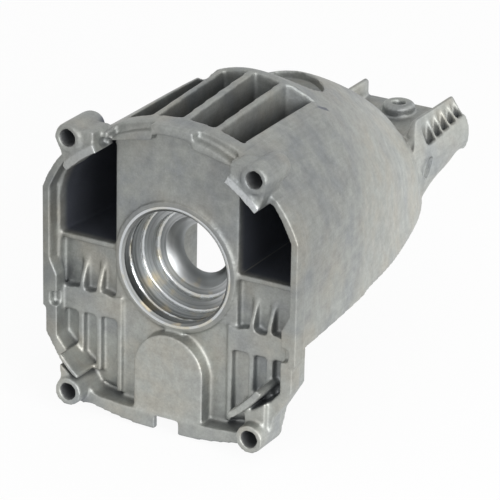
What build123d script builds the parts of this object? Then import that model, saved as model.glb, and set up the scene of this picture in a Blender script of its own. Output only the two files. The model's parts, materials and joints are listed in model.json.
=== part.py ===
from build123d import *
import math
import os

# Die-cast gear housing of a jigsaw: motor flange in front, gear case behind it, open neck at the rear.
# +Y runs from the screw boss faces (Y = 0) into the body and +Z is up. All lengths are millimetres.
# While the shapes are made the bearing axis is X = 0, Z = 0.

# bearing seat with a groove for a rubber ring, then a stepped way through to the gears
bearing_diameter = 28.0
bearing_width = 8.0
seat_radius = bearing_diameter / 2
ring_face = 7.5
mouth_chamfer = 0.5
groove_start = 10.2
groove_width = 1.2
groove_depth = 0.8
seat_end = ring_face + mouth_chamfer + bearing_width
relief_radius = 11.5
relief_end = 18.9
throat_radius = 9.1
throat_chamfer = 0.9
throat_end_radius = 6.3
hub_end = 22.4
ring_radius = 16.3
hub_wall = 2.2

# screw bosses on a rectangle round the motor axis
screw_hole_radius = 2.1
boss_radius = 3.5
screw_span_x = 49.8
screw_span_z = 64.8
pattern_drop = 2.6
boss_x = screw_span_x / 2
boss_top = screw_span_z / 2 - pattern_drop
boss_low = -screw_span_z / 2 - pattern_drop
boss_depth = 10.2
lip_upper = (34.8, 36.7)
lip_lower_left = (35.4, 36.4)
lip_lower_right = (32.9, 34.6)
screw_depth = 10.0

# flange rim
rim_face = 4.2
rim_back = 8.3
half_width = 34.5
wall = 2.0
rim_wall_low = 3.9
corner_start = 14.6
corner_end = 24.2
top_radius = 35.9
low_start = -16.2
low_inset = 0.8
sill = -41.3
sill_corner_x = 21.1
sill_corner_z = -38.8

# walls behind the rim
plate_face = 8.3
plate_half = 16.7
plate_thickness = 3.0
back_face = 10.2
back_thickness = 2.1
raised_floor = 8.6
pocket_floor = 9.4
shelf_top = 2.0
shelf_thickness = 1.3
duct_wall_end = 44.8
duct_wall_low = -17.4
pad_face = 4.8
pad_half = 9.4
pad_top = -16.4
pad_foot = -37.2
sill_thickness = 1.7

# gear case
parting = -13.3
case_wall = 2.2
bulkhead_thickness = 1.8
opening_y = 56.0
opening_x = 10.8
opening_y_half = 11.2
slot_start = 12.0
slot_end_mid = 42.6
slot_end_side = 47.5
slot_half = 15.4
bar_mid = 0.9
bar_side_in = 7.6
bar_side_out = 9.1
crest = 44.0

# neck with two upright cheeks and a small screw boss
neck_end = 126.2
neck_root = 97.1
neck_open = 106.2
neck_half = 18.0
cheek_x = 12.4
cheek_wall = 1.5
cheek_top = 8.6
gusset_first = 110.9
gusset_pitch = 3.8
gusset_rows = [gusset_first + gusset_pitch * row for row in range(4)]
pocket_start = gusset_first - 4.3
gusset_wall = 1.0
floor_rear = 4.2
floor_slope = 0.125
floor_wall = 2.2
skin_wall = 1.7
neck_boss_y = 120.6
neck_boss_radius = 4.3
neck_boss_top = 6.2
neck_hole_radius = 1.85

# the origin is the centre of the screw pattern, in the plane of the boss faces
axis_height = pattern_drop

# cuts and clipped walls reach this far past the body, so that no cut ends on a face
beyond_top = 41.5
beyond = 60.0


def flip(point):
    return (-point[0], point[1])


def twin_face(path, crest=None, base=None):
    # closed face from its right half; a step is a point, or (middle, end) for an arc
    right, left = [], []
    here = path[0]
    for step in path[1:]:
        if isinstance(step[0], tuple):
            middle, end = step
            right.append(ThreePointArc(here, middle, end))
            left.append(ThreePointArc(flip(end), flip(middle), flip(here)))
        else:
            end = step
            right.append(Line(here, end))
            left.append(Line(flip(end), flip(here)))
        here = end
    top = ThreePointArc(here, crest, flip(here)) if crest else Line(here, flip(here))
    start = path[0]
    bottom = ThreePointArc(flip(start), base, start) if base else Line(flip(start), start)
    return make_face(right + [top] + list(reversed(left)) + [bottom])


def polygon(points):
    return make_face(Polyline(*points, close=True))


def slab(face, y0, y1):
    # front-view face (X, Z) carried from Y = y0 to Y = y1
    return extrude(Plane((0, y0, 0), x_dir=(1, 0, 0), z_dir=(0, -1, 0)) * face, amount=-(y1 - y0))


def block(x0, x1, y0, y1, z0, z1):
    return Pos((x0 + x1) / 2, (y0 + y1) / 2, (z0 + z1) / 2) * Box(x1 - x0, y1 - y0, z1 - z0)


def rod(radius, y0, y1, x=0.0, z=0.0, end_radius=None):
    # round bar along Y, tapered when end_radius is given
    length = y1 - y0
    middle = Location((x, (y0 + y1) / 2, z), (-90, 0, 0))
    if end_radius is None:
        return middle * Cylinder(radius, length)
    return middle * Cone(radius, end_radius, length)


def both_sides(shape):
    return shape + mirror(shape, about=Plane.YZ)


# Gear case stations: Y, half width at the parting edge, side point, corner point, shoulder point, crown.
front_stations = [
    (8.0, 34.2, (34.2, 12.5), (29.6, 23.2), (15.8, 32.8), 35.8),
    (24.9, 33.0, (32.5, 11.0), (27.7, 22.3), (15.8, 33.3), 37.1),
    (crest, 31.3, (30.3, 8.8), (25.4, 21.1), (15.6, 33.2), 38.4),
]
rear_stations = [
    front_stations[-1],
    (54.8, 29.4, (28.1, 7.0), (22.8, 19.3), (13.1, 30.2), 35.0),
    (66.4, 27.6, (25.9, 4.8), (20.2, 16.9), (10.6, 26.8), 31.0),
    (77.2, 25.1, (23.3, 2.2), (17.8, 13.6), (10.0, 21.6), 26.1),
    (87.2, 22.4, (20.8, -0.5), (15.4, 9.8), (9.3, 16.3), 20.8),
    (97.1, 19.1, (17.8, -3.7), (13.9, 5.0), (9.0, 9.9), 14.6),
    (104.6, 15.8, (14.8, -6.8), (12.4, 0.3), (8.3, 4.5), 8.8),
]


def case_section(station, inset):
    y, width, side, corner, shoulder, crown = station
    fx = 1 - inset / width
    fz = 1 - inset / (crown - parting)
    low = parting - (1.7 if inset else 0.0)
    foot = (width * fx, low)
    knee, bend, top = [(x * fx, parting + (z - parting) * fz) for x, z in (side, corner, shoulder)]
    rise = (knee[0] - foot[0], knee[1] - foot[1])
    flank = Spline(knee, bend, top, tangents=(rise, (-1.0, 0.6)), tangent_scalars=(0.9, 0.9))
    other = Spline(flip(top), flip(bend), flip(knee), tangents=((-1.0, -0.6), (rise[0], -rise[1])),
                   tangent_scalars=(0.9, 0.9))
    crest_arc = ThreePointArc(top, (0, parting + (crown - parting) * fz), flip(top))
    lines = [Line(flip(foot), foot), Line(foot, knee), flank, crest_arc, other, Line(flip(knee), flip(foot))]
    return Plane((0, y, 0), x_dir=(1, 0, 0), z_dir=(0, -1, 0)) * make_face(lines)


def case_body(inset=0.0):
    front, rear = list(front_stations), list(rear_stations)
    if inset:
        front[0] = (front[0][0] - 1,) + front[0][1:]
        rear[-1] = (rear[-1][0] - inset,) + rear[-1][1:]
    ahead = loft([case_section(row, inset) for row in front])
    behind = loft([case_section(row, inset) for row in rear])
    return ahead + behind


def rim_face_outer():
    top_x = 16.8
    top_z = math.sqrt(top_radius ** 2 - top_x ** 2)
    corner = ((32.4, 19.1), (28.7, corner_end))
    path = [(half_width, low_start), (half_width, corner_start), corner, (top_x, top_z)]
    return twin_face(path, crest=(0, top_radius))


def rim_face_inner():
    x = half_width - wall
    low = half_width - rim_wall_low
    path = [(low, low_start - 1), (low, -7.5), (x, -3.7), (x, corner_start), ((30.6, 18.4), (27.9, 22.6)),
            (22.4, 25.9), (16.4, 29.2), (5.4, 31.5), (5.4, 32.9)]
    return twin_face(path, crest=(0, 33.5))


def apron_face(inset):
    # lower half of the flange, below the gear case
    # its corners follow the lower screw bosses
    x = half_width - low_inset - inset
    edge = boss_radius - inset
    path = [(sill_corner_x, sill_corner_z + inset),
            ((boss_x + edge * 0.3, boss_low - edge * 0.95), (boss_x + edge, boss_low)),
            (29.2 - inset * 0.8, -30.2), (x, -22.9), (x, low_start + 2)]
    return twin_face(path, base=(0, sill + inset))


def apron_hollow():
    x = half_width - rim_wall_low
    z = sill + rim_wall_low
    path = [(18.7, z + 1.1), ((20.4, -35.6), (21.2, -34.5)), (x, -23.2), (x, low_start + 2.5)]
    return twin_face(path, base=(0, z + 0.17))


def rim():
    frame = slab(rim_face_outer(), rim_face, rim_back) - slab(rim_face_inner(), rim_face - 1, rim_back + 1)
    low = slab(apron_face(0), rim_face, rim_back)
    low += slab(apron_face(0.9), rim_back, back_face + back_thickness)
    return frame + low - slab(apron_hollow(), rim_face - 1, back_face)


def rim_step():
    # lowered landing on both sides of the locating block, on the top edge of the rim
    ring = slab(Circle(top_radius + 2.5) - Circle(top_radius - 1.8), rim_face - 1, rim_back)
    window = block(5.7, 16.4, rim_face - 1, rim_back, 24.9, beyond_top)
    return both_sides(ring & window)


def rim_front_cut():
    # the top arc stands one millimetre behind the side walls
    return block(-16.4, 16.4, rim_face - 1, rim_face + 1, 28.2, beyond_top)


def rim_gap():
    # small blind recess between the end of the locating ridge and the boss web
    return both_sides(block(16.4, 18.5, rim_face - 1, rim_face + 2.1, 28.0, 30.1))


def lip_sector(radii, start, end, y0, y1):
    inner, outer = radii
    ring = Pos(0, -pattern_drop) * (Circle(outer) - Circle(inner))
    a, b = math.radians(start), math.radians(end)
    wedge = polygon([(0, -pattern_drop), (beyond * math.cos(a), beyond * math.sin(a) - pattern_drop),
                     (beyond * math.cos(b), beyond * math.sin(b) - pattern_drop)])
    return slab(ring & wedge, y0, y1)


def lips():
    # short curved walls round the screw pattern
    upper = both_sides(lip_sector(lip_upper, 44.0, 60.5, 0, rim_back))
    left = mirror(lip_sector(lip_lower_left, -52.0, -40.5, 0, back_face), about=Plane.YZ)
    right = lip_sector(lip_lower_right, -55.0, -36.0, 0, back_face)
    return upper + left + right


def boss_webs():
    # flush ties between the upper bosses and lips, arms under the lower ones
    upper = [(18.2, 29.0), (18.2, 32.3), (22.7, 32.3), (25.2, 30.0), (27.9, 27.9), (26.4, 23.7)]
    left = [(-27.9, -28.7), (-23.2, -32.0), (-22.3, boss_low - 1.2), (-27.4, boss_low)]
    right = [(27.7, -26.2), (21.9, -30.0), (22.7, boss_low), (27.4, boss_low)]
    arms = slab(polygon(left), 1.0, back_face) + slab(polygon(right), 2.8, back_face)
    return both_sides(slab(polygon(upper), 0, rim_back)) + arms


def bosses():
    # the upper two end in a half ball on the outside of the case
    upper = rod(boss_radius, 0, boss_depth, boss_x, boss_top)
    ball = Pos(boss_x, boss_depth, boss_top) * Sphere(boss_radius)
    lower = rod(boss_radius, 0, boss_depth, boss_x, boss_low)
    return both_sides(upper + ball + lower)


def screw_holes():
    upper = rod(screw_hole_radius, -1, screw_depth, boss_x, boss_top)
    lower = rod(screw_hole_radius, -1, screw_depth, boss_x, boss_low)
    return both_sides(upper + lower)


def centre_plate():
    top = 33.4
    face = twin_face([(plate_half, -11.6), (plate_half, 30.2)], crest=(0, top + 0.8))
    return slab(face, plate_face, plate_face + plate_thickness)


def back_wall():
    # closes the front beside the hub, from the shelf down to the ribs
    side = half_width - 1.3
    return block(-side, side, back_face, back_face + back_thickness, -16.6, shelf_top)


def shelf():
    # floor of the two side ducts
    under = shelf_top - shelf_thickness
    return both_sides(block(slot_half, half_width, plate_face, slot_end_side + 1, under, shelf_top))


def duct_walls():
    # walls between the side ducts and the middle chamber, in line with the edges of the plate
    return both_sides(block(slot_half, plate_half, plate_face, duct_wall_end, parting, beyond_top))


def duct_wall_feet():
    # the same walls reach a little below the parting edge
    return both_sides(block(slot_half, plate_half, back_face, duct_wall_end, duct_wall_low, parting + 0.08))


def bulkhead():
    # cross wall behind the air slots, its front follows their rear ends
    run = [(0, slot_end_mid), (bar_side_out, slot_end_mid + 0.3)]
    run += [(slot_half, slot_end_side), (half_width, slot_end_side)]
    back = [(x, y + bulkhead_thickness) for x, y in reversed(run)]
    wall_plan = Pos(0, 0, shelf_top - shelf_thickness) * extrude(polygon(run + back), amount=beyond_top)
    return both_sides(wall_plan)


def bars():
    low = 25.0
    mid = block(-bar_mid, bar_mid, slot_start - 2, slot_end_mid + 1, low, beyond_top)
    side = block(bar_side_in, bar_side_out, slot_start - 2, slot_end_mid + 1, low, beyond_top)
    ends = block(-slot_half - 1.3, slot_half + 1.3, slot_start - 2.0, slot_start, low + 2.5, beyond_top)
    return mid + both_sides(side) + ends


def slots():
    end = [(bar_side_out, slot_end_mid + 0.3), (slot_half, slot_end_side)]
    outer = [(bar_side_out, slot_start), (slot_half, slot_start)] + list(reversed(end))
    inner = [(bar_mid, slot_start), (bar_side_in, slot_start), (bar_side_in, slot_end_mid),
             (bar_mid, slot_end_mid)]
    cut = Pos(0, 0, 16.6) * extrude(polygon(outer) + polygon(inner), amount=33.2)
    return both_sides(cut)


def top_opening():
    # round way in from above, just behind the ridge
    return Pos(0, opening_y, 37.4) * extrude(Ellipse(opening_x, opening_y_half), amount=24.9, both=True)


def lattice():
    # raised bands, ribs and pockets on both sides of the arch pad
    band = polygon([(14.4, -11.0), (30.7, -11.0), (30.7, -17.2), (14.4, -17.2)])
    scallops = [Pos(16.9, -8.0) * Circle(3.5), Pos(23.6, -8.0) * Circle(3.5), Pos(29.3, -8.6) * Circle(2.7)]
    for bite in scallops:
        band = band - bite
    front = slab(band, ring_face, back_face)
    for x0, x1, low in ((14.4, 15.9, -35.7), (20.2, 21.7, -31.5), (25.1, 26.8, -27.4)):
        front += block(x0, x1, ring_face, back_face, low, -16.6)
    floor = polygon([(14.1, -14.9), (30.7, -14.9), (30.7, -24.1), (20.3, -34.5), (14.1, -36.1)])
    front += slab(floor, pocket_floor, back_face)
    for x in (20.9, 25.7):
        gusset = Plane((x - 0.7, 0, 0), x_dir=(0, 1, 0), z_dir=(1, 0, 0)) * polygon(
            [(ring_face, -11.6), (ring_face, -9.1), (back_face + 0.4, -2.2), (back_face + 0.4, -11.6)])
        front += extrude(gusset, amount=1.3)
    middle = polygon([(-14.6, -11.6), (14.6, -11.6), (14.6, -37.0), (-14.6, -37.0)])
    centre = slab(middle, raised_floor, back_face)
    return both_sides(front) + centre


def arch_pad():
    r = pad_half + 0.6
    side_z = pad_top - r - 0.8
    face = twin_face([(pad_half, sill + 1), (pad_half, side_z)], crest=(0, pad_top))
    return slab(face, pad_face, back_face)


def sill_notch():
    # gap in the middle of the bottom edge
    return block(-3.3, 3.3, rim_face - 1, back_face + back_thickness + 1, sill - 1, pad_foot - 0.4)


def sill_back():
    # the bottom edge is a thin hanging strip
    half = 18.7
    y1 = back_face + back_thickness + 1
    return block(-half, half, rim_face + sill_thickness, y1, sill - 1, pad_foot - 0.8)


def side_nicks():
    # small recesses where the ribbed bands meet the side walls
    return both_sides(block(30.4, 32.4, rim_face - 1, rim_face + 2.2, -15.4, -12.0))


def bearing_hub():
    shoulder_end = seat_end + hub_wall
    ring = rod(ring_radius, ring_face, shoulder_end)
    middle = rod(relief_radius + hub_wall, seat_end, relief_end + hub_wall)
    return ring + middle + rod(throat_radius + hub_wall, relief_end, hub_end)


def bearing_bore():
    # the bevels overlap their neighbours by a hundredth, so that the cuts join
    lap = 0.01
    narrow = throat_radius - throat_chamfer
    seat = rod(seat_radius, ring_face - 2, seat_end)
    groove = rod(seat_radius + groove_depth, groove_start, groove_start + groove_width)
    mouth = rod(seat_radius + mouth_chamfer, ring_face - lap, ring_face + mouth_chamfer, end_radius=seat_radius)
    relief = rod(relief_radius, seat_end - 1, relief_end)
    lead = rod(throat_radius, relief_end - lap, relief_end + throat_chamfer, end_radius=narrow)
    cone = rod(narrow, relief_end + throat_chamfer - lap, hub_end + lap, end_radius=throat_end_radius)
    return seat + groove + mouth + relief + lead + cone


def neck_section(y, width, low, top, grow=0.0):
    w = width - grow
    face = twin_face([(w - 1.3, low), ((w, low + 3.5), (w - 1.4, top))])
    return Plane((0, y, 0), x_dir=(1, 0, 0), z_dir=(0, -1, 0)) * face


def floor_z(y):
    return floor_rear - floor_slope * (neck_end - y)


def neck_shell():
    rows = [(neck_root, 15.4, parting, floor_z(neck_root)), (102.1, 16.9, -13.0, floor_z(102.1)),
            (neck_open, 17.4, -10.0, floor_z(neck_open)), (110.4, 17.7, -8.0, floor_z(110.4)),
            (116.2, 17.8, -6.6, floor_z(116.2)), (neck_end, neck_half, -5.4, floor_z(neck_end))]
    outer = loft([neck_section(*row) for row in rows])
    inner_rows = [(y, w, low - 2, top - floor_wall) for y, w, low, top in rows]
    inner_rows[0] = (neck_root - 2.5,) + inner_rows[0][1:]
    inner_rows[-1] = (neck_end + 2.5,) + inner_rows[-1][1:]
    inner = loft([neck_section(*row, skin_wall) for row in inner_rows])
    return outer, inner


def cheek():
    # upright wall, thin along its top, with a ledge along its foot
    x0, x1 = cheek_x - cheek_wall / 2, cheek_x + cheek_wall / 2
    crown = [(x0, cheek_top - 0.5), (x1 - 0.5, cheek_top), (x1, cheek_top - 0.4)]
    face = polygon([(x0, -5.0)] + crown + [(x1, -5.0)])
    ledge = polygon([(x1 - 0.1, -4.2), (15.3, -4.2), (15.3, -0.8), (x1 - 0.1, -0.8)])
    return slab(face, neck_open - 4.2, neck_end) + slab(ledge, neck_open, neck_end)


def cheek_gussets():
    x1 = cheek_x + cheek_wall / 2 - 0.3
    shapes = None
    for y in gusset_rows + [neck_end - gusset_wall / 2]:
        face = polygon([(x1, -5.0), (x1, cheek_top - 0.3), (15.8, floor_z(y) + 0.17), (15.8, -5.0)])
        one = slab(face, y - gusset_wall / 2, y + gusset_wall / 2)
        shapes = one if shapes is None else shapes + one
    return shapes


def cheek_pocket():
    x1 = cheek_x + cheek_wall / 2
    return block(x1, 15.2, pocket_start, neck_end - 0.8, -2.5, 10.0)


def cheek_ramp():
    # sloping skin between the dome and the first gusset
    x1 = cheek_x + cheek_wall / 2 - 0.3
    foot = (15.8, floor_z(pocket_start) + 0.17)
    face = polygon([(x1, -5.0), (x1, cheek_top - 0.3), foot, (15.8, -5.0)])
    return slab(face, neck_root, pocket_start)


def cheek_lead():
    # what is cleared in front of the cheeks, so that they rise gently out of the dome
    y0, y1 = neck_root - 2, 105.4
    face = polygon([(y0, 2.1), (y0 + 3.7, 2.1), (y1, cheek_top), (y1, 24.9), (y0, 24.9)])
    return Plane((0, 0, 0), x_dir=(0, 1, 0), z_dir=(1, 0, 0)) * extrude(face, amount=20.8, both=True)


def side_hollow():
    # shallow three-cornered hollow where the neck's skin leaves the dome
    face = polygon([(100.6, -1.0), (106.7, -0.8), (102.8, -6.3)])
    return Plane((16.4, 0, 0), x_dir=(0, 1, 0), z_dir=(1, 0, 0)) * extrude(face, amount=6.6)


def neck():
    outer, inner = neck_shell()
    body = outer + both_sides(cheek_ramp() - cheek_lead()) - both_sides(cheek_pocket())
    body += both_sides(cheek() - cheek_lead())
    body += both_sides(cheek_gussets())
    return body - both_sides(side_hollow()), inner


def neck_boss():
    y = neck_boss_y
    foot = floor_z(y) - 1.2
    base = Pos(0, y, (foot + 4.2) / 2) * Cylinder(neck_boss_radius - 0.7, 4.2 - foot)
    head = Pos(0, y, (3.8 + neck_boss_top) / 2) * Cylinder(neck_boss_radius, neck_boss_top - 3.8)
    head = chamfer(head.edges().sort_by(Axis.Z)[-1], 0.9)
    return base + head


def neck_hole():
    return Pos(0, neck_boss_y, 0) * Cylinder(neck_hole_radius, 24.9)


def gear_housing():
    shell = case_body()
    hollow = case_body(case_wall)
    inside = hollow & block(-49.8, 49.8, 0, 166.0, parting, 66.4)
    within = shell + slab(rim_face_outer(), rim_face, rim_back + 0.08) + slab(apron_face(0.8), rim_face, 49.8)
    walls = (centre_plate() + back_wall() + shelf() + duct_walls() + bulkhead() + bars()) & within
    neck_outer, neck_inner = neck()
    keep = shell - hollow
    part = keep + rim() + walls + bearing_hub() + lattice() + arch_pad()
    part += duct_wall_feet() + lips() + boss_webs() + bosses()
    part += neck_outer - inside
    part += neck_boss()
    part -= neck_inner
    part -= rim_step() + rim_front_cut() + rim_gap()
    part -= slots() + top_opening() + sill_notch() + sill_back() + side_nicks()
    part -= screw_holes() + bearing_bore() + neck_hole()
    return Pos(0, 0, axis_height) * part


if __name__ == "__main__":
    os.makedirs("parts", exist_ok=True)
    housing = gear_housing()
    solids = housing.solids()
    print("solids", len(solids), [round(s.volume) for s in solids], "box", housing.bounding_box())
    body = solids.sort_by(SortBy.VOLUME)[-1]
    body.label = "gear_housing"
    export_step(body, "parts/gear_housing.step")
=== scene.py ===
import bpy
import json
import math
from mathutils import Euler, Matrix, Vector

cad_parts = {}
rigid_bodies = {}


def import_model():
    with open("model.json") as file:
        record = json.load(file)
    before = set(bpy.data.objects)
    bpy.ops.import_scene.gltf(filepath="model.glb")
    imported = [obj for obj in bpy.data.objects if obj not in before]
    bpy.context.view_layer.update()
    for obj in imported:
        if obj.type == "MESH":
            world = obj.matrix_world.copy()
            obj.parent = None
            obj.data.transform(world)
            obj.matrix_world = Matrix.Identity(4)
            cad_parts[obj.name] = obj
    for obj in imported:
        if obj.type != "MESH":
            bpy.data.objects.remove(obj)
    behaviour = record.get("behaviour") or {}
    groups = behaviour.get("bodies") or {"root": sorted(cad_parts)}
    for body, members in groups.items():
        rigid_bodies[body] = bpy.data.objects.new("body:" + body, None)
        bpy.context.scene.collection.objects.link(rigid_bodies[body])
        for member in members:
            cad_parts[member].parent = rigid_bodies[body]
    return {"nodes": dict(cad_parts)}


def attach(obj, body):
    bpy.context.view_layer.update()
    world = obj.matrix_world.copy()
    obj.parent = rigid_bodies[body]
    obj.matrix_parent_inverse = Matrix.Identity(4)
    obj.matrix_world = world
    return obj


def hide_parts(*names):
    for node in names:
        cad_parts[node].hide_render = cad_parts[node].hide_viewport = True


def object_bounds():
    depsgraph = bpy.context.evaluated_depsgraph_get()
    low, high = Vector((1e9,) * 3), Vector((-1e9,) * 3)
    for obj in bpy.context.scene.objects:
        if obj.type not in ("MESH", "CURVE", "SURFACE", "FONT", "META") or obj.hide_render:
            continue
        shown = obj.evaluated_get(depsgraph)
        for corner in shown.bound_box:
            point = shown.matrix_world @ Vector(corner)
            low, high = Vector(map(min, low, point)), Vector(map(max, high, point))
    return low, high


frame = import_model()
cadLow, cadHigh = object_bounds()
mm = 0.001
print("frame loaded")


# places that the pieces and the materials share, in millimetres
body = {
    "axisHeight": 2.6,           # bearing axis above the origin
    "screwX": 24.9,
    "screwZ": 32.4,
}


def addNode(tree, kind, **settings):
    node = tree.nodes.new(kind)
    for name, value in settings.items():
        setattr(node, name, value)
    return node


def feed(tree, socket, value):  # a link, or a plain number or colour
    if isinstance(value, bpy.types.NodeSocket):
        tree.links.new(value, socket)
    else:
        socket.default_value = value


def calc(tree, operation, first, second=0.0, third=0.0):
    node = addNode(tree, "ShaderNodeMath", operation=operation)
    for socket, value in zip(node.inputs, (first, second, third)):
        feed(tree, socket, value)
    return node.outputs[0]


def stepUp(tree, value, low, high):  # 0 below low, 1 above high
    node = addNode(tree, "ShaderNodeMapRange", interpolation_type="SMOOTHSTEP")
    feed(tree, node.inputs["Value"], value)
    node.inputs["From Min"].default_value = low
    node.inputs["From Max"].default_value = high
    return node.outputs["Result"]


def stepDown(tree, value, low, high):
    return calc(tree, "SUBTRACT", 1.0, stepUp(tree, value, low, high))


def both(tree, *masks):
    result = masks[0]
    for mask in masks[1:]:
        result = calc(tree, "MULTIPLY", result, mask)
    return result


def between(tree, value, rise, fall):  # each a pair of low and high
    return both(tree, stepUp(tree, value, *rise), stepDown(tree, value, *fall))


def squares(tree, first, second):
    return calc(tree, "ADD", calc(tree, "MULTIPLY", first, first), calc(tree, "MULTIPLY", second, second))


def reach(tree, first, second):
    return calc(tree, "SQRT", squares(tree, first, second))


def mixColour(tree, amount, first, second, blend="MIX"):
    node = addNode(tree, "ShaderNodeMix", data_type="RGBA", blend_type=blend)
    feed(tree, node.inputs[0], amount)
    feed(tree, node.inputs[6], first)
    feed(tree, node.inputs[7], second)
    return node.outputs[2]


def mixNumber(tree, amount, first, second):
    node = addNode(tree, "ShaderNodeMix", data_type="FLOAT")
    feed(tree, node.inputs[0], amount)
    feed(tree, node.inputs[2], first)
    feed(tree, node.inputs[3], second)
    return node.outputs[0]


def noise(tree, vector, scale, detail, rough):
    node = addNode(tree, "ShaderNodeTexNoise")
    feed(tree, node.inputs["Vector"], vector)
    node.inputs["Scale"].default_value = scale
    node.inputs["Detail"].default_value = detail
    node.inputs["Roughness"].default_value = rough
    return node.outputs["Fac"]


def addBump(tree, shader, height, distance, strength):
    bump = addNode(tree, "ShaderNodeBump")
    bump.inputs["Distance"].default_value = distance
    bump.inputs["Strength"].default_value = strength
    tree.links.new(height, bump.inputs["Height"])
    tree.links.new(bump.outputs[0], shader.inputs["Normal"])


def blankTree(owner, outputKind):
    owner.use_nodes = True
    tree = owner.node_tree
    tree.nodes.clear()
    return tree, addNode(tree, outputKind)


def startMetal(name):  # a metal with its patterns in millimetres round the bearing axis
    material = bpy.data.materials.new(name)
    tree, output = blankTree(material, "ShaderNodeOutputMaterial")
    shader = addNode(tree, "ShaderNodeBsdfPrincipled")
    tree.links.new(shader.outputs[0], output.inputs["Surface"])
    place = addNode(tree, "ShaderNodeTexCoord")
    mapping = addNode(tree, "ShaderNodeMapping")
    tree.links.new(place.outputs["Object"], mapping.inputs["Vector"])
    mapping.inputs["Scale"].default_value = (1 / mm, 1 / mm, 1 / mm)
    mapping.inputs["Location"].default_value = (0.0, 0.0, -body["axisHeight"])
    split = addNode(tree, "ShaderNodeSeparateXYZ")
    tree.links.new(mapping.outputs[0], split.inputs[0])
    return material, tree, shader, mapping.outputs[0], split.outputs


metal = {
    "castColour": (0.285, 0.295, 0.28, 1.0),
    "warmColour": (0.325, 0.318, 0.285, 1.0),
    "coolColour": (0.245, 0.258, 0.262, 1.0),
    # painted shade for corners and hollows
    "paintedShadeColour": (0.12, 0.13, 0.15, 1.0),
    # worn edges, brightened further as a painted highlight
    "wornEdgeHighlightColour": (0.52, 0.53, 0.515, 1.0),
    "turnedColour": (0.55, 0.57, 0.58, 1.0),
    "goldColour": (0.56, 0.53, 0.44, 1.0),
    # drilled finish, painted lighter as the light inside the screw holes
    "drilledAndLitColour": (0.36, 0.365, 0.36, 1.0),
    # painted shade inside the two side ducts
    "ductShadeColour": (0.115, 0.125, 0.15, 1.0),
    "metallic": 0.82,
    # noise: scale per millimetre, detail, roughness
    "grain": (2.4, 3.0, 0.6),
    "mottle": (0.16, 4.0, 0.6),
    "blotch": (0.45, 3.0, 0.6),
    "patches": (0.06, 2.0, 0.5),
    "flow": (1.0, 3.0, 0.55),
    "flowStretch": (1.6, 0.07, 1.6),
    "flowTurn": (0.15, 0.0, 0.2),
    "patchMix": (0.35, 0.65),
    "mottleMix": (0.3, 0.72),
    # how much each pattern or mask changes the brightness, and its base
    "grainShade": (0.34, 0.83),
    "flowShade": (0.24, 0.88),
    "blotchShade": (0.5, 0.75),
    "mottleShade": (0.4, 0.8),
    "lowShade": (0.34, 1.0),
    "flankHighlightShade": (0.6, 1.0),
    # painted shade on the hub face and the left rim
    "hubRimShade": (-0.24, 1.0),
    "cheekShade": (-0.6, 1.0),
    # mask ranges, in millimetres or as a part of the surface's normal
    "frontFacing": (-0.97, -0.85),
    "boreRadius": (15.1, 15.3),
    "boreMouth": (7.0, 7.2),
    "boreEnd": (22.6, 23.0),
    "hubRadius": (16.2, 16.4),
    "hubDepth": (7.7, 7.9),
    "hubTurned": 0.12,
    "holeReach": (5.0, 5.6),     # squared
    "holeMouth": (0.25, 0.6),
    "holeEnd": (10.5, 11.0),
    "lipInner": (34.2, 34.5),
    "lipOuter": (36.5, 37.0),
    "lipDepth": (0.8, 1.4),
    "lipLevel": (22.0, 23.0),
    "lipStreaks": (0.05, 0.55),
    "lipMachinedHighlight": (0.25, 0.8),     # machined lip faces with a painted highlight, brighter right than left: left, right
    "ductSide": (16.3, 16.5),
    "ductInner": (17.1, 17.3),
    "ductFloor": (1.4, 1.8),
    "ductTop": (31.5, 32.5),
    "ductMouth": (8.6, 11.5),
    "ductEnd": (49.5, 50.5),
    "skinFacing": (0.15, 0.3),
    "lowHeight": (-30.0, 5.0),
    "lowFacing": (-0.9, -0.5),
    "flankHighlightFacing": (0.3, 0.8),
    "flankHighlightSlope": 1.6,
    "flankHighlightRange": (-20.0, 95.0),
    "leftRimShade": (-32.0, -29.0),
    "cheekStart": (96.0, 98.0),
    "cheekSide": (14.0, 15.0),
    "cheekFacing": (-0.5, -0.2),
    # worn edges with a painted highlight, and painted shade in corners
    "edgeWidth": 0.55 * mm,
    "edgeBend": (0.012, 0.09),
    "edgeOpen": (0.35, 0.7),
    "edgeWearHighlight": 0.45,
    "cavityReach": 14 * mm,      # how far a wall has to be to stop the painted shade darkening a surface
    "cavityRange": (-0.3, 0.75),
    "turnedOpen": 0.75,
    # tool rings under the turned skin
    "ringPitch": 9.0,
    "ringGold": (0.45, 0.7),
    "ringBump": 0.012,
    # roughness and bump
    "castRoughness": (0.16, 0.46),
    "edgeRoughness": 0.36,
    "turnedRoughness": 0.24,
    "grainBump": 0.10,
    "mottleBump": 0.45,
    "bumpDistance": 1.0 * mm,
    "bumpStrength": 0.55,
}


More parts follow.
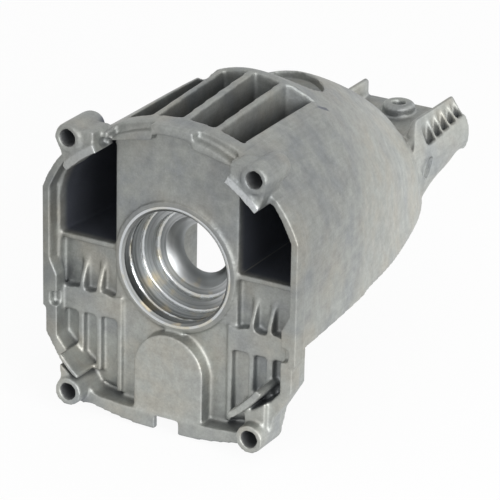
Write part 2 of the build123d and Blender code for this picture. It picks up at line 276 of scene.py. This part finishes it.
def castMetal():
    material, tree, shader, point, (x, y, z) = startMetal("castAluminium")
    facing = addNode(tree, "ShaderNodeSeparateXYZ")
    tree.links.new(addNode(tree, "ShaderNodeTexCoord").outputs["Normal"], facing.inputs[0])
    faceX, faceY, faceZ = facing.outputs
    radius = reach(tree, x, z)
    side = calc(tree, "ABSOLUTE", x)
    level = calc(tree, "ADD", z, body["axisHeight"])  # height above the origin
    toFront = stepDown(tree, faceY, *metal["frontFacing"])  # 1 where the surface looks at the motor

    # masks: bearing bore and the hub's face
    inBore = both(tree, stepDown(tree, radius, *metal["boreRadius"]),
                  between(tree, y, metal["boreMouth"], metal["boreEnd"]))
    hubFace = both(tree, stepDown(tree, radius, *metal["hubRadius"]),
                   stepDown(tree, y, *metal["hubDepth"]), toFront)
    turned = calc(tree, "MAXIMUM", inBore, calc(tree, "MULTIPLY", hubFace, metal["hubTurned"]))

    # masks: screw holes, and the upper lips that centre the motor
    screwSide = calc(tree, "SUBTRACT", side, body["screwX"])
    screwLevel = calc(tree, "SUBTRACT", calc(tree, "ABSOLUTE", level), body["screwZ"])
    inHole = both(tree, stepDown(tree, squares(tree, screwSide, screwLevel), *metal["holeReach"]),
                  between(tree, y, metal["holeMouth"], metal["holeEnd"]))
    lipFace = both(tree, between(tree, reach(tree, x, level), metal["lipInner"], metal["lipOuter"]),
                   stepDown(tree, y, *metal["lipDepth"]), stepUp(tree, level, *metal["lipLevel"]))

    # mask: the two side ducts, all but the outer skin, where painted shade darkens the inside
    outward = calc(tree, "ADD", calc(tree, "MULTIPLY", x, faceX), calc(tree, "MULTIPLY", z, faceZ))
    outward = calc(tree, "DIVIDE", outward, radius)
    notSkin = calc(tree, "MAXIMUM", stepDown(tree, outward, *metal["skinFacing"]),
                   stepDown(tree, side, *metal["ductInner"]))
    ductShadeMask = both(tree, stepUp(tree, side, *metal["ductSide"]),
                  between(tree, z, metal["ductFloor"], metal["ductTop"]),
                  between(tree, y, metal["ductMouth"], metal["ductEnd"]), notSkin)

    # cast skin: fine grain, soft mottling and a few long flow marks
    grain = noise(tree, point, *metal["grain"])
    mottle = noise(tree, point, *metal["mottle"])
    blotch = noise(tree, point, *metal["blotch"])
    patches = noise(tree, point, *metal["patches"])
    longWay = addNode(tree, "ShaderNodeMapping")
    tree.links.new(point, longWay.inputs["Vector"])
    longWay.inputs["Scale"].default_value = metal["flowStretch"]
    longWay.inputs["Rotation"].default_value = metal["flowTurn"]
    flow = noise(tree, longWay.outputs[0], *metal["flow"])
    skin = mixColour(tree, stepUp(tree, patches, *metal["patchMix"]), metal["coolColour"], metal["warmColour"])
    skin = mixColour(tree, stepUp(tree, mottle, *metal["mottleMix"]), skin, metal["castColour"])

    # painted light and shade: brighter low in front and on the flanks towards the neck, painted shade on the hub, left
    # rim and neck steps
    # painted light: front faces brighter towards the bottom
    lowFrontLight = both(tree, stepDown(tree, z, *metal["lowHeight"]), stepDown(tree, faceY, *metal["lowFacing"]))
    # painted highlight on the flanks, stronger towards the neck and lower down
    slope = calc(tree, "SUBTRACT", y, calc(tree, "MULTIPLY", z, metal["flankHighlightSlope"]))
    flankHighlight = both(tree, stepUp(tree, calc(tree, "ABSOLUTE", faceX), *metal["flankHighlightFacing"]),
                  stepUp(tree, slope, *metal["flankHighlightRange"]))
    # painted shade on the left rim's front
    leftRimShade = both(tree, stepDown(tree, x, *metal["leftRimShade"]), toFront)
    # painted shade on the steps at the front of the neck
    cheekShadeMask = both(tree, stepUp(tree, y, *metal["cheekStart"]), stepUp(tree, side, *metal["cheekSide"]),
                      stepDown(tree, faceY, *metal["cheekFacing"]))
    brightness = 1.0
    for pattern, shade in ((grain, "grainShade"), (flow, "flowShade"), (blotch, "blotchShade"),
                           (mottle, "mottleShade"), (lowFrontLight, "lowShade"), (flankHighlight, "flankHighlightShade"),
                           (calc(tree, "MAXIMUM", hubFace, leftRimShade), "hubRimShade"), (cheekShadeMask, "cheekShade")):
        brightness = calc(tree, "MULTIPLY", brightness, calc(tree, "MULTIPLY_ADD", pattern, *metal[shade]))
    grey = addNode(tree, "ShaderNodeCombineColor")
    for socket in grey.inputs[:3]:
        tree.links.new(brightness, socket)
    skin = mixColour(tree, 1.0, skin, grey.outputs[0], "MULTIPLY")

    # worn edges with a painted highlight: brighter where a rounded normal leaves the real one, but not in corners
    cavity = addNode(tree, "ShaderNodeAmbientOcclusion", samples=12)
    cavity.inputs["Distance"].default_value = metal["cavityReach"]
    openness = cavity.outputs["AO"]
    rounded = addNode(tree, "ShaderNodeBevel", samples=6)
    rounded.inputs["Radius"].default_value = metal["edgeWidth"]
    flat = addNode(tree, "ShaderNodeNewGeometry")
    agreement = addNode(tree, "ShaderNodeVectorMath", operation="DOT_PRODUCT")
    tree.links.new(rounded.outputs[0], agreement.inputs[0])
    tree.links.new(flat.outputs["Normal"], agreement.inputs[1])
    bend = calc(tree, "SUBTRACT", 1.0, agreement.outputs["Value"])
    bend = calc(tree, "MULTIPLY", bend, calc(tree, "ADD", grain, 0.5))
    edge = both(tree, stepUp(tree, bend, *metal["edgeBend"]), stepUp(tree, openness, *metal["edgeOpen"]))
    skin = mixColour(tree, calc(tree, "MULTIPLY", edge, metal["edgeWearHighlight"]), skin, metal["wornEdgeHighlightColour"])

    # the machined lip faces, with a painted highlight that is brighter on the right lip than the left
    lipMachinedHighlight = mixNumber(tree, stepUp(tree, x, -1.0, 1.0), *metal["lipMachinedHighlight"])
    lipMachinedHighlight = both(tree, lipFace, lipMachinedHighlight, stepUp(tree, flow, *metal["lipStreaks"]))
    skin = mixColour(tree, lipMachinedHighlight, skin, metal["turnedColour"])
    # screw holes: a drilled finish, painted lighter as the light inside them
    skin = mixColour(tree, inHole, skin, metal["drilledAndLitColour"])

    # turned metal: rings that follow the tool
    ringWay = calc(tree, "MULTIPLY", calc(tree, "ADD", radius, y), metal["ringPitch"])
    rings = calc(tree, "MULTIPLY_ADD", calc(tree, "SINE", ringWay), 0.5, 0.5)
    bright = mixColour(tree, stepUp(tree, mottle, *metal["ringGold"]), metal["turnedColour"], metal["goldColour"])
    colour = mixColour(tree, turned, skin, bright)

    # painted shade: corners darkened where walls are near, and the ducts painted darker still
    depth = calc(tree, "MAXIMUM", stepUp(tree, openness, *metal["cavityRange"]),
                 calc(tree, "MULTIPLY", turned, metal["turnedOpen"]))
    # painted shade: mixes towards the dark colour where the ambient occlusion finds walls near
    colour = mixColour(tree, depth, metal["paintedShadeColour"], colour)
    colour = mixColour(tree, ductShadeMask, colour, metal["ductShadeColour"])
    tree.links.new(colour, shader.inputs["Base Color"])

    roughness = calc(tree, "MULTIPLY_ADD", mottle, *metal["castRoughness"])
    roughness = mixNumber(tree, edge, roughness, metal["edgeRoughness"])
    roughness = mixNumber(tree, calc(tree, "MAXIMUM", turned, lipMachinedHighlight), roughness, metal["turnedRoughness"])
    tree.links.new(roughness, shader.inputs["Roughness"])
    shader.inputs["Metallic"].default_value = metal["metallic"]

    height = calc(tree, "ADD", calc(tree, "MULTIPLY", grain, metal["grainBump"]),
                  calc(tree, "MULTIPLY", mottle, metal["mottleBump"]))
    height = mixNumber(tree, turned, height, calc(tree, "MULTIPLY", rings, metal["ringBump"]))
    addBump(tree, shader, height, metal["bumpDistance"], metal["bumpStrength"])
    return material


def pick(piece):
    bpy.ops.object.select_all(action="DESELECT")
    piece.select_set(True)
    bpy.context.view_layer.objects.active = piece


def change(piece, name, kind, **settings):
    pick(piece)
    modifier = piece.modifiers.new(name, kind)
    for setting, value in settings.items():
        setattr(modifier, setting, value)
    bpy.ops.object.modifier_apply(modifier=modifier.name)


def carve(piece, cutter):
    change(piece, "cut", "BOOLEAN", operation="DIFFERENCE", object=cutter, solver="EXACT")
    bpy.data.objects.remove(cutter)


webs = {
    "depth": 0.7 * mm,           # how far the web beside each upper boss lies behind the boss face
    "reach": 9.0 * mm,
    "bossRing": 3.3 * mm,
    "lipOuter": 37.1 * mm,
}


def disc(radius, depth, place, corners):  # its axis along Y
    bpy.ops.mesh.primitive_cylinder_add(vertices=corners, radius=radius, depth=depth, location=place,
                                        rotation=(math.pi / 2, 0, 0))
    return bpy.context.object


def webCutter(sign):  # a shallow disc round the boss, less the boss ring and the lip's circle
    place = (sign * body["screwX"] * mm, 0, body["screwZ"] * mm)
    cutter = disc(webs["reach"], 2 * webs["depth"], place, 64)
    ring = disc(webs["bossRing"], 4 * webs["depth"], place, 48)
    circle = disc(webs["lipOuter"], 4 * webs["depth"], (0, 0, 0), 256)
    for keeper in (ring, circle):
        carve(cutter, keeper)
    return cutter


housing = {
    "mergeReach": 0.002 * mm,
    "voxel": 0.42 * mm,
    "rounds": 5,                 # smoothing passes, which round the edges as a die does
    "smoothing": 0.5,
    "faceLimit": 190000,
}


def dropSpecks(piece):  # closed bubbles of a few faces that the even mesh leaves inside thin walls
    pick(piece)
    last = max(piece.data.vertices, key=lambda vertex: vertex.co.y).index
    bpy.ops.object.mode_set(mode="EDIT")
    bpy.ops.mesh.select_all(action="DESELECT")
    bpy.ops.object.mode_set(mode="OBJECT")
    piece.data.vertices[last].select = True
    bpy.ops.object.mode_set(mode="EDIT")
    bpy.ops.mesh.select_linked()
    bpy.ops.mesh.select_all(action="INVERT")
    bpy.ops.mesh.delete(type="VERT")
    bpy.ops.object.mode_set(mode="OBJECT")


def softCasting(node):
    casting = bpy.data.objects.new("housingCasting", node.data.copy())
    bpy.context.scene.collection.objects.link(casting)
    pick(casting)
    bpy.ops.object.mode_set(mode="EDIT")
    bpy.ops.mesh.select_all(action="SELECT")
    bpy.ops.mesh.remove_doubles(threshold=housing["mergeReach"])
    bpy.ops.object.mode_set(mode="OBJECT")
    for sign in (-1, 1):
        carve(casting, webCutter(sign))
    change(casting, "evenMesh", "REMESH", mode="VOXEL", voxel_size=housing["voxel"], use_smooth_shade=True)
    change(casting, "castEdges", "SMOOTH", factor=housing["smoothing"], iterations=housing["rounds"])
    triangles = 2 * len(casting.data.polygons)
    print("even mesh:", triangles, "triangles")
    change(casting, "fewerFaces", "DECIMATE", ratio=min(1.0, housing["faceLimit"] / triangles))
    dropSpecks(casting)
    bpy.ops.object.shade_smooth()
    print("casting:", len(casting.data.polygons), "faces")
    return casting


turnedLook = {
    "colour": (0.46, 0.472, 0.475, 1.0),
    "darkRing": (0.27, 0.282, 0.285, 1.0),
    "mouth": (0.22, 0.225, 0.22, 1.0),
    "tint": (0.66, 0.56, 0.38, 1.0),
    "broad": (1.1, 2.0, 0.5),
    "fine": (14.0, 2.0, 0.6),
    "stain": (0.22, 2.0, 0.5),
    "ringMix": (0.38, 0.6),
    "mouthEnd": (7.9, 8.3),
    "mouthAmount": 0.85,
    "stainMix": (0.52, 0.7),
    "stainHeight": (-9.0, -5.0),
    "stainAmount": 0.55,
    "roughness": (0.16, 0.28),
    "mouthRoughness": 0.6,
    "anisotropy": 0.75,
    "bumpDistance": 0.02 * mm,
    "bumpStrength": 0.5,
}


def turnedMetal():
    material, tree, shader, point, (x, y, z) = startMetal("turnedAluminium")
    way = addNode(tree, "ShaderNodeCombineXYZ")  # along the profile, so the pattern makes rings
    tree.links.new(calc(tree, "ADD", reach(tree, x, z), y), way.inputs[0])
    broad = noise(tree, way.outputs[0], *turnedLook["broad"])
    fine = noise(tree, way.outputs[0], *turnedLook["fine"])
    stain = noise(tree, point, *turnedLook["stain"])
    mouth = calc(tree, "MULTIPLY", stepDown(tree, y, *turnedLook["mouthEnd"]), turnedLook["mouthAmount"])
    low = both(tree, stepUp(tree, stain, *turnedLook["stainMix"]), stepDown(tree, z, *turnedLook["stainHeight"]))
    colour = mixColour(tree, stepUp(tree, broad, *turnedLook["ringMix"]), turnedLook["darkRing"], turnedLook["colour"])
    colour = mixColour(tree, mouth, colour, turnedLook["mouth"])
    colour = mixColour(tree, calc(tree, "MULTIPLY", low, turnedLook["stainAmount"]), colour, turnedLook["tint"])
    tree.links.new(colour, shader.inputs["Base Color"])
    roughness = calc(tree, "MULTIPLY_ADD", fine, *turnedLook["roughness"])
    roughness = mixNumber(tree, mouth, roughness, turnedLook["mouthRoughness"])
    tree.links.new(roughness, shader.inputs["Roughness"])
    shader.inputs["Metallic"].default_value = 1.0
    shader.inputs["Anisotropic"].default_value = turnedLook["anisotropy"]
    roundWay = addNode(tree, "ShaderNodeVectorMath", operation="CROSS_PRODUCT")
    tree.links.new(point, roundWay.inputs[0])
    roundWay.inputs[1].default_value = (0.0, 1.0, 0.0)
    tree.links.new(roundWay.outputs[0], shader.inputs["Tangent"])
    addBump(tree, shader, fine, turnedLook["bumpDistance"], turnedLook["bumpStrength"])
    return material


seat = {
    "proud": 0.04 * mm,          # how far the turned skin stands off the soft casting
    "skin": 0.3 * mm,
    "steps": 180,
    "mergeReach": 0.001 * mm,
    "sharpAngle": 25,
    # radius and depth of each corner, from the mouth inwards, in millimetres
    "corners": [(14.5, 7.5), (14.0, 8.0), (14.0, 10.2), (14.75, 10.2), (14.75, 11.45), (14.0, 11.45),
                (14.0, 16.0), (11.5, 16.0), (11.5, 18.9), (9.1, 18.9), (8.2, 19.8), (6.3, 22.4)],
}


def turnedSeat():
    corners = [(radius * mm - seat["proud"], depth * mm - seat["proud"]) for radius, depth in seat["corners"]]
    bpy.ops.mesh.primitive_plane_add(size=mm, location=(*corners[0], 0))
    piece = bpy.context.object
    piece.name = "turnedSeat"
    bpy.ops.object.mode_set(mode="EDIT")
    bpy.ops.mesh.merge(type="CENTER")
    for here, there in zip(corners, corners[1:]):
        move = (there[0] - here[0], there[1] - here[1], 0)
        bpy.ops.mesh.extrude_region_move(TRANSFORM_OT_translate={"value": move})
    bpy.ops.object.mode_set(mode="OBJECT")
    bpy.ops.object.transform_apply(location=True, rotation=True, scale=True)
    change(piece, "turn", "SCREW", axis="Y", angle=2 * math.pi, steps=seat["steps"], render_steps=seat["steps"],
           use_merge_vertices=True, merge_threshold=seat["mergeReach"])
    bpy.ops.object.mode_set(mode="EDIT")
    bpy.ops.mesh.select_all(action="SELECT")
    bpy.ops.mesh.normals_make_consistent(inside=True)  # towards the axis, until the wall closes it
    bpy.ops.object.mode_set(mode="OBJECT")
    piece.location = (0, 0, body["axisHeight"] * mm)
    bpy.ops.object.transform_apply(location=True, rotation=True, scale=True)
    change(piece, "wall", "SOLIDIFY", thickness=seat["skin"], offset=-1.0)
    bpy.ops.object.shade_smooth_by_angle(angle=math.radians(seat["sharpAngle"]))
    piece.data.materials.append(turnedMetal())
    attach(piece, "root")
    print("turned seat:", len(piece.data.polygons), "faces")


casting = softCasting(frame["nodes"]["gear_housing"])
casting.data.materials.clear()
casting.data.materials.append(castMetal())
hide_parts("gear_housing")
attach(casting, "root")
turnedSeat()
print("casting finished")


stageLook = {
    "floorSize": 3.0,
    "floorGap": 0.3 * mm,
    "floorColour": (0.92, 0.92, 0.92, 1.0),
    "floorSeen": 0.93,           # how much of the floor the camera sees as plain white
    "skyStrength": 0.62,
    "lamps": [
        # name, place in metres, size, watts
        ("keyLamp", (0.75, -0.35, 0.30), 0.55, 6.0),
        ("frontLamp", (0.38, -0.85, 0.38), 0.35, 1.6),
    ],
    "aim": (0.0, 0.05, 0.0),
}


def seenRays(tree):  # 1 for the camera and for what metal or glass shows
    rays = addNode(tree, "ShaderNodeLightPath")
    mirrored = calc(tree, "MAXIMUM", rays.outputs["Is Glossy Ray"], rays.outputs["Is Transmission Ray"])
    return calc(tree, "MAXIMUM", rays.outputs["Is Camera Ray"], mirrored)


def whiteFloor():
    bpy.ops.mesh.primitive_plane_add(size=stageLook["floorSize"], location=(0, 0, cadLow[2] - stageLook["floorGap"]))
    floor = bpy.context.object
    floor.name = "floor"
    material = bpy.data.materials.new("floorWhite")
    tree, output = blankTree(material, "ShaderNodeOutputMaterial")
    diffuse = addNode(tree, "ShaderNodeBsdfDiffuse")
    diffuse.inputs["Color"].default_value = stageLook["floorColour"]
    white = addNode(tree, "ShaderNodeEmission")
    mixer = addNode(tree, "ShaderNodeMixShader")
    tree.links.new(calc(tree, "MULTIPLY", seenRays(tree), stageLook["floorSeen"]), mixer.inputs[0])
    tree.links.new(diffuse.outputs[0], mixer.inputs[1])
    tree.links.new(white.outputs[0], mixer.inputs[2])
    tree.links.new(mixer.outputs[0], output.inputs["Surface"])
    floor.data.materials.append(material)


def whiteWorld():
    world = bpy.data.worlds.new("studio")
    bpy.context.scene.world = world
    tree, output = blankTree(world, "ShaderNodeOutputWorld")
    sky = addNode(tree, "ShaderNodeBackground")
    sky.inputs["Color"].default_value = (1.0, 1.0, 1.0, 1.0)
    tree.links.new(mixNumber(tree, seenRays(tree), stageLook["skyStrength"], 1.0), sky.inputs["Strength"])
    tree.links.new(sky.outputs[0], output.inputs["Surface"])


def softLamps():
    aim = Vector(stageLook["aim"])
    for name, spot, size, watts in stageLook["lamps"]:
        light = bpy.data.lights.new(name, "AREA")
        light.shape = "SQUARE"
        light.size = size
        light.energy = watts
        lamp = bpy.data.objects.new(name, light)
        lamp.location = spot
        lamp.rotation_euler = (aim - Vector(spot)).to_track_quat("-Z", "Y").to_euler()
        bpy.context.scene.collection.objects.link(lamp)


shot = {
    "place": (385.195 * mm, -642.648 * mm, 324.31 * mm),
    "azimuth": 29.3116,
    "elevation": 22.7439,
    "roll": 1.1245,
    "lens": 253.10,
    "sensor": 36.0,
    "clip": (0.01, 20.0),
}


def photoCamera():
    lensData = bpy.data.cameras.new("camera")
    lensData.lens = shot["lens"]
    lensData.sensor_width = shot["sensor"]
    lensData.clip_start, lensData.clip_end = shot["clip"]
    camera = bpy.data.objects.new("camera", lensData)
    bpy.context.scene.collection.objects.link(camera)
    turn = Euler((math.radians(90 - shot["elevation"]), 0, math.radians(shot["azimuth"]))).to_matrix()
    turn = turn @ Matrix.Rotation(math.radians(shot["roll"]), 3, "Z")
    camera.matrix_world = Matrix.Translation(shot["place"]) @ turn.to_4x4()
    bpy.context.scene.camera = camera


whiteFloor()
whiteWorld()
softLamps()
photoCamera()
bpy.context.scene.view_settings.view_transform = "Standard"
print("stage finished")
